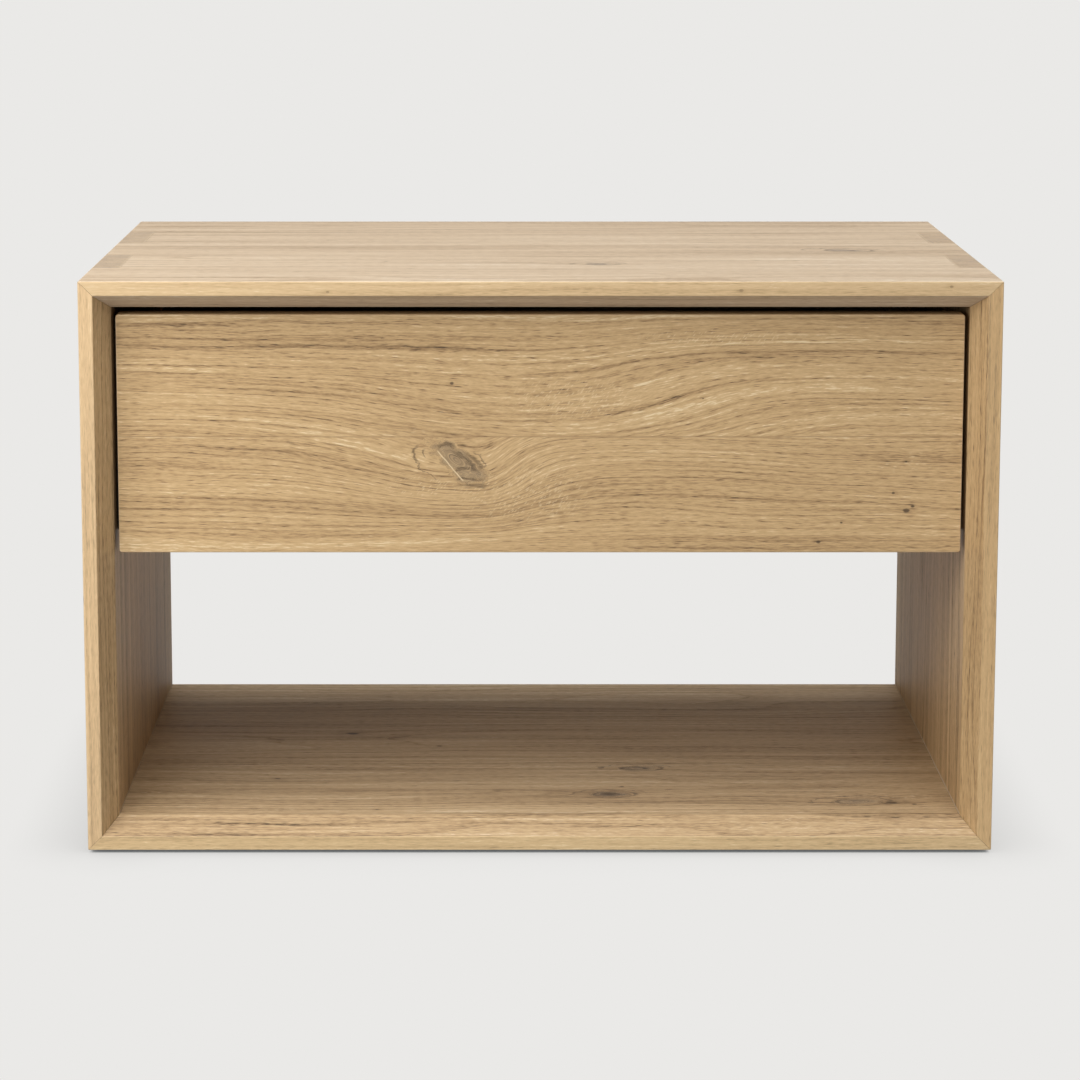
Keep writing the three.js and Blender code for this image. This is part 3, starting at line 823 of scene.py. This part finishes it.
def drawer_front_board():
    return Board(
        "drawer_front", "X", "Z", 70, seams=(77.5,), heart=(150.0, 30.0),
        flows=((296, 82, 170, 120, 50, 24), (420, 124, 120, 130, 36, -8), (236, 50, 90, 36, 30, 23),
               (340, 58, 60, 110, 26, -7), (90, 20, 120, 110, 30, 5)),
        knots=((232, 53, 11, 6.5, -0.15), (223, 62, 19, 7.5, -0.62)),
        arcs=((204, 65, 9.5, 7.0, -0.5, 3.6, 1.1, 0.8), (206, 65.5, 5.5, 3.6, -0.5, 3.5, 1.0, 0.5),
              (216, 60, 13, 12.0, -0.35, 1.9, 0.6, 2.2), (222, 54, 19, 11.0, -0.62, 1.5, 0.7, 2.6),
              (218.5, 61.8, 24.0, 14.5, -0.3, 3.9, 0.8, 0.6), (219.5, 61.8, 22.5, 13.0, -0.3, 0.5, 0.5, 0.6),
              (230, 42, 22, 14, 0.0, 1.6, 0.5, 1.8), (232, 38, 22, 11.5, 0.0, 1.6, 0.5, 1.4),
              (234, 35, 20, 10, 0.0, 1.5, 0.45, 2.0), (228, 58, 14, 8, -0.6, 1.2, 0.8, 1.8)),
        cracks=((219.0, 58.0, 28.0, -0.88),),
        flecks=((268, 40, 50, 22), (200, 44, 26, 8), (300, 103, 50, 16), (395, 143, 60, 6)),
        pins=((220, 113, 0, 1.3), (520, 28, 0, 1.9), (524, 31, 0, 1.1), (511, 40, 0, 1.0), (519, 61, 0, 0.8),
              (477, 20, 0, 0.9), (462, 7, 0, 1.3), (385, 103, 0, 0.7)),
        tint=(0.97, 0.95, 0.885))


class BEDSIDE_OT_drawer_front(bpy.types.Operator):
    """Makes the drawer front, with rounded corners and eased arrises"""

    bl_idname = "bedside.drawer_front"
    bl_label = "Drawer Front"

    def execute(self, context):
        look = context.scene.bedside_oak
        low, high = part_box("drawer_front")
        piece = new_block("oak_drawer_front", low, high)
        ease(piece, CORNER_RADIUS, lambda ends: is_lengthwise(ends, 1), segments=5)
        ease(piece, look.arris, lambda ends: all(near(end.y, low.y) for end in ends))
        ease(piece, look.inner_arris, lambda ends: all(near(end.y, high.y) for end in ends))
        settle(piece, "drawer_front", oak(drawer_front_board()))
        return {"FINISHED"}


class BEDSIDE_OT_drawer_box(bpy.types.Operator):
    """Makes the walls of the drawer box and finishes its bottom"""

    bl_idname = "bedside.drawer_box"
    bl_label = "Drawer Box"

    def execute(self, context):
        look = context.scene.bedside_oak
        block = rounding_block(BOX_WALLS, look.arris)
        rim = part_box("drawer_box_front")[1].z
        for seed, node in enumerate(BOX_WALLS, 90):
            grain = "Y" if "side" in node else "X"
            board = Board(node, grain, "Z", seed, heart=(60.0, 55.0), tint=(0.97, 1.0, 1.06))
            piece = board_copy(node, f"oak_{node}")
            inner = inner_plane(node)
            ease(piece, look.arris, lambda ends: all(near(end.z, rim) for end in ends)
                 and all(near(end[board.through], inner) for end in ends))
            apply_boolean(piece, block, "INTERSECT")
            settle(piece, node, oak(board))
        bpy.data.objects.remove(block)
        dress("drawer_bottom", birch_ply("drawer_bottom"))
        return {"FINISHED"}


def inner_plane(node):
    """Where a box wall's inner face lies, on the axis through the wall."""
    axis = 0 if "side" in node else 1
    middle = (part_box("drawer_bottom")[0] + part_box("drawer_bottom")[1]) / 2
    return min((corner[axis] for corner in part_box(node)), key=lambda value: abs(value - middle[axis]))


class BEDSIDE_OT_slides(bpy.types.Operator):
    """Makes the rails of both slides, with rounded bends"""

    bl_idname = "bedside.slides"
    bl_label = "Slide Rails"

    def execute(self, context):
        look = context.scene.bedside_fittings
        steel = coated_steel()
        for side in SIDES:
            for rail in ("cabinet_rail", "middle_rail", "drawer_rail"):
                node = f"{rail}_{side}"
                piece = board_copy(node, f"steel_{node}")
                low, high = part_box(node)
                ease(piece, look.bend_radius, lambda ends: is_lengthwise(ends, 1)
                     and all(near(end.z, low.z, high.z) for end in ends), segments=3)
                settle(piece, node, steel)
        return {"FINISHED"}


class BEDSIDE_OT_ball_cages(bpy.types.Operator):
    """Makes the four ball cages with their balls"""

    bl_idname = "bedside.ball_cages"
    bl_label = "Ball Cages"

    def execute(self, context):
        zinc = plated_zinc()
        for side in SIDES:
            for cage in ("outer_ball_cage", "inner_ball_cage"):
                node = f"{cage}_{side}"
                piece = ball_cage(node, f"zinc_{node}")
                settle(piece, node, zinc)
        return {"FINISHED"}


def ball_cage(node, name):
    """A thin channel with a row of balls in each flange."""
    look = bpy.context.scene.bedside_fittings
    low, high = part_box(node)
    inward = 1 if low.x < 0 else -1
    web = low.x if inward > 0 else high.x
    mesh = frame["nodes"][node].data
    levels = [v.co.z for v in mesh.vertices if near(v.co.x, web)]
    channel_low = Vector((low.x, low.y, min(levels)))
    channel_high = Vector((high.x, high.y, max(levels)))
    piece = new_block(name, channel_low, channel_high)
    open_side = high.x if inward > 0 else low.x
    bpy.ops.object.mode_set(mode="EDIT")
    choose(piece, "FACE", lambda corners: all(near(c.x, open_side) for c in corners)
           or all(near(c.y, low.y) for c in corners) or all(near(c.y, high.y) for c in corners))
    bpy.ops.mesh.delete(type="FACE")
    bpy.ops.object.mode_set(mode="OBJECT")
    wall = piece.modifiers.new("Wall", "SOLIDIFY")
    wall.thickness, wall.offset = CAGE_SHEET, -1
    wall.use_even_offset = True
    bpy.ops.object.modifier_apply(modifier=wall.name)
    ease(piece, CAGE_SHEET / 2, lambda ends: is_lengthwise(ends, 1) and all(near(end.x, web) for end in ends))
    radius = min(levels) - low.z + CAGE_SHEET / 2
    count = int((high.y - low.y) / BALL_PITCH) + 1
    first = (low.y + high.y - (count - 1) * BALL_PITCH) / 2
    balls = []
    for level in (channel_low.z + CAGE_SHEET / 2, channel_high.z - CAGE_SHEET / 2):
        for index in range(count):
            bpy.ops.object.select_all(action="DESELECT")
            bpy.ops.mesh.primitive_uv_sphere_add(
                segments=look.ball_segments, ring_count=look.ball_segments // 2, radius=radius,
                location=((low.x + high.x) / 2, first + index * BALL_PITCH, level))
            bpy.ops.object.shade_smooth()
            balls.append(bpy.context.object)
    only(piece)
    for ball in balls:
        ball.select_set(True)
    bpy.ops.object.join()
    keep_place()
    return piece


def screw_master(length, head_radius, head_depth, is_round):
    """A screw that points along -Z with its head's face at the origin."""
    look = bpy.context.scene.bedside_fittings
    rim, point = 0.3 * MM, 3 * MM
    bpy.ops.object.select_all(action="DESELECT")
    depth = head_depth if is_round else rim
    bpy.ops.mesh.primitive_cylinder_add(
        vertices=24, radius=head_radius, depth=depth, location=(0, 0, -depth / 2))
    screw = bpy.context.object
    keep_place()
    bpy.ops.object.mode_set(mode="EDIT")
    choose(screw, "FACE", lambda corners: all(near(c.z, -depth) for c in corners))
    steps = [(0.0 if is_round else head_depth, SCREW_SHANK / head_radius)]
    start = -depth
    steps += [(length - point - head_depth - (0 if is_round else rim), 1.0), (point, 0.12)]
    for drop, narrowing in steps:
        bpy.ops.mesh.extrude_region_move(TRANSFORM_OT_translate={"value": (0, 0, -drop)})
        start -= drop
        bpy.ops.transform.resize(value=(narrowing, narrowing, 1.0), center_override=(0, 0, start))
    bpy.ops.object.mode_set(mode="OBJECT")
    crown = 1.0 * MM if is_round else 0.15 * MM
    ease(screw, crown, lambda ends: all(near(end.z, 0) for end in ends), segments=4)
    arm, blade = head_radius * 0.62, head_radius * 0.13
    for long, short in ((arm, blade), (blade, arm)):
        cutter = new_block("recess", Vector((-long, -short, -look.recess_depth)), Vector((long, short, MM)))
        apply_boolean(screw, cutter, "DIFFERENCE")
        bpy.data.objects.remove(cutter)
    only(screw)
    bpy.ops.object.shade_smooth_by_angle(angle=math.radians(35))
    return screw


def place_screw(master, node, name, material, direction):
    """Puts a copy of the screw along its CAD node, pointing the way that the node does."""
    low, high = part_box(node)
    head = (low + high) / 2
    axis = max(range(3), key=lambda index: abs(direction[index]))
    head[axis] = low[axis] if direction[axis] > 0 else high[axis]
    screw = master.copy()
    screw.data = master.data.copy()
    screw.name = screw.data.name = name
    bpy.context.collection.objects.link(screw)
    only(screw)
    screw.rotation_mode = "QUATERNION"
    screw.rotation_quaternion = Vector((0, 0, -1)).rotation_difference(Vector(direction))
    screw.location = head
    keep_place()
    settle(screw, node, material)


class BEDSIDE_OT_screws(bpy.types.Operator):
    """Makes the screws of the slides and of the drawer front"""

    bl_idname = "bedside.screws"
    bl_label = "Screws"

    def execute(self, context):
        zinc = plated_zinc()
        kinds = {"cabinet_rail_screw": "123", "drawer_rail_screw": "123"}
        for kind, numbers in kinds.items():
            low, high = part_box(f"{kind}_1_left")
            radius = (high.z - low.z) / 2
            master = screw_master(high.x - low.x, radius, radius - SCREW_SHANK, is_round=False)
            for side in SIDES:
                outward = -1 if side == "left" else 1
                way = outward if kind == "cabinet_rail_screw" else -outward
                for number in numbers:
                    node = f"{kind}_{number}_{side}"
                    place_screw(master, node, f"zinc_{node}", zinc, (way, 0, 0))
            bpy.data.objects.remove(master)
        low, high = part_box("front_screw_upper_left")
        master = screw_master(high.y - low.y, (high.z - low.z) / 2, ROUND_HEAD_DEPTH, is_round=True)
        for side in SIDES:
            for level in ("upper", "lower"):
                node = f"front_screw_{level}_{side}"
                place_screw(master, node, f"zinc_{node}", zinc, (0, -1, 0))
        bpy.data.objects.remove(master)
        return {"FINISHED"}


class BEDSIDE_OT_pads_and_stops(bpy.types.Operator):
    """Makes the felt pads and the rubber stops, and finishes the dowels"""

    bl_idname = "bedside.pads_and_stops"
    bl_label = "Pads and Stops"

    def execute(self, context):
        felt, rubber, beech = pressed_felt(), moulded_rubber(), turned_beech()
        for side in SIDES:
            for end in ("front", "rear"):
                node = f"felt_pad_{end}_{side}"
                settle(felt_pad(node), node, felt)
            node = f"rear_stop_{side}"
            stop = new_block(f"rubber_{node}", *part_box(node))
            ease(stop, STOP_RADIUS, lambda ends: True, segments=4)
            settle(stop, node, rubber)
            for level in ("lower", "upper"):
                dress(f"back_dowel_{level}_{side}", beech)
        return {"FINISHED"}


def felt_pad(node):
    """A disc of felt with softened rims."""
    low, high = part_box(node)
    bpy.ops.object.select_all(action="DESELECT")
    bpy.ops.mesh.primitive_cylinder_add(
        vertices=64, radius=(high.x - low.x) / 2, depth=high.z - low.z, location=(low + high) / 2)
    pad = bpy.context.object
    pad.name = pad.data.name = node.replace("felt_pad", "felt_disc")
    keep_place()
    ease(pad, PAD_RIM, lambda ends: near(ends[0].z, ends[1].z))
    only(pad)
    bpy.ops.object.shade_smooth_by_angle(angle=math.radians(40))
    return pad


class BEDSIDE_OT_studio(bpy.types.Operator):
    """Makes the floor, the light and the camera"""

    bl_idname = "bedside.studio"
    bl_label = "Studio"

    def execute(self, context):
        look = context.scene.bedside_studio
        context.scene.view_settings.view_transform = "Standard"
        studio_floor(look)
        studio_light(look)
        studio_camera(look)
        return {"FINISHED"}


def studio_floor(look):
    """A floor that looks evenly lit, with a painted shadow close round what stands on it: ambient occlusion
    darkens its emitted colour.
    """
    bpy.ops.object.select_all(action="DESELECT")
    bpy.ops.mesh.primitive_plane_add(size=FLOOR_WIDTH, location=(0, 0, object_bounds()[0].z))
    floor = bpy.context.object
    floor.name = floor.data.name = "studio_floor"
    keep_place()
    finish = Finish("studio floor")
    open_sky = finish.add("ShaderNodeAmbientOcclusion", {"samples": 12}, {"Distance": SHADOW_REACH}, "AO")
    # Painted shadow: the emitted colour darkens where ambient occlusion finds the object close.
    shade = finish.mix(open_sky.rise(0.0, 0.4), (0.16, 0.175, 0.18), look.floor)
    shade = finish.mix((open_sky - 0.4) * 0.38 + 0.772, (0.0, 0.0, 0.0), shade)
    seen = finish.add("ShaderNodeEmission", {}, {"Color": shade, "Strength": 1.0})
    given = finish.add("ShaderNodeEmission", {}, {"Color": (*look.floor, 1.0), "Strength": look.bounce})
    direct = finish.add("ShaderNodeLightPath", output="Is Camera Ray")
    finish.add_output(finish.add("ShaderNodeMixShader", {}, {0: direct, 1: given, 2: seen}))
    floor.data.materials.append(finish.material)
    floor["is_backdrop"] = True


def studio_light(look):
    world = bpy.data.worlds.new("studio")
    world.use_nodes = True
    bpy.context.scene.world = world
    nodes, links = world.node_tree.nodes, world.node_tree.links
    nodes.clear()
    seen, cast = (nodes.new("ShaderNodeBackground") for _ in range(2))
    path, mix, end = (nodes.new(kind) for kind in (
        "ShaderNodeLightPath", "ShaderNodeMixShader", "ShaderNodeOutputWorld"))
    for background, strength in ((cast, 0.05), (seen, 1.0)):
        background.inputs["Color"].default_value = (*look.floor, 1.0)
        background.inputs["Strength"].default_value = strength
    links.new(path.outputs["Is Camera Ray"], mix.inputs[0])
    links.new(cast.outputs[0], mix.inputs[1])
    links.new(seen.outputs[0], mix.inputs[2])
    links.new(mix.outputs[0], end.inputs["Surface"])
    wide_light("overhead", "SUN", look.overhead, 55, (0, 86))
    wide_light("front", "SUN", look.front, 44, (4, 40))
    wide_light("back", "SUN", look.back, 50, (180, 22))
    wide_light("key", "AREA", look.key, 0.9, (-46, 33))


def wide_light(name, kind, strength, width, aim):
    """A sun as wide as a softbox in degrees, or a softbox that wide in metres.

    aim is its bearing round from the front and its height, both in degrees.
    """
    data = bpy.data.lights.new(name, kind)
    data.energy = strength
    if kind == "SUN":
        data.angle = math.radians(width)
    else:
        data.size = width
    lamp = bpy.data.objects.new(name, data)
    bpy.context.collection.objects.link(lamp)
    bearing, height = (math.radians(value) for value in aim)
    level = math.cos(height)
    toward = Vector((math.sin(bearing) * level, -math.cos(bearing) * level, math.sin(height)))
    lamp.rotation_mode = "QUATERNION"
    lamp.rotation_quaternion = toward.to_track_quat("Z", "Y")
    lamp.location = toward * LAMP_DISTANCE
    lamp.visible_camera = False


def studio_camera(look):
    data = bpy.data.cameras.new("camera")
    camera = bpy.data.objects.new("camera", data)
    bpy.context.collection.objects.link(camera)
    data.lens, data.sensor_width = look.lens, 36
    data.shift_x, data.shift_y = 0.038, -0.1
    camera.location = CAMERA_PLACE
    camera.rotation_euler = (math.radians(90) - CAMERA_TILT, 0, 0)
    bpy.context.scene.camera = camera


class BEDSIDE_PT_panel(bpy.types.Panel):
    """The steps of the model, in order"""

    bl_idname = "BEDSIDE_PT_panel"
    bl_label = "Oak Bedside Table"
    bl_space_type = "VIEW_3D"
    bl_region_type = "UI"
    bl_category = "Bedside Table"

    def draw(self, context):
        for name in SETTINGS:
            settings = getattr(context.scene, name)
            box = self.layout.box()
            for key in settings.__annotations__:
                box.prop(settings, key)
        for step in STEPS:
            self.layout.operator(step.bl_idname)


STEPS = (
    BEDSIDE_OT_carcass, BEDSIDE_OT_back_panel, BEDSIDE_OT_drawer_front, BEDSIDE_OT_drawer_box,
    BEDSIDE_OT_slides, BEDSIDE_OT_ball_cages, BEDSIDE_OT_screws, BEDSIDE_OT_pads_and_stops,
    BEDSIDE_OT_studio,
)
SETTINGS = {
    "bedside_oak": OakSettings, "bedside_fittings": FittingSettings, "bedside_studio": StudioSettings}


def register():
    for cls in (*SETTINGS.values(), *STEPS, BEDSIDE_PT_panel):
        bpy.utils.register_class(cls)
    for name, cls in SETTINGS.items():
        setattr(bpy.types.Scene, name, PointerProperty(type=cls))


def unregister():
    for name in SETTINGS:
        delattr(bpy.types.Scene, name)
    for cls in reversed((*SETTINGS.values(), *STEPS, BEDSIDE_PT_panel)):
        bpy.utils.unregister_class(cls)


def main():
    register()
    for step in STEPS:
        group, name = step.bl_idname.split(".")
        getattr(getattr(bpy.ops, group), name)()


if __name__ == "__main__":
    main()
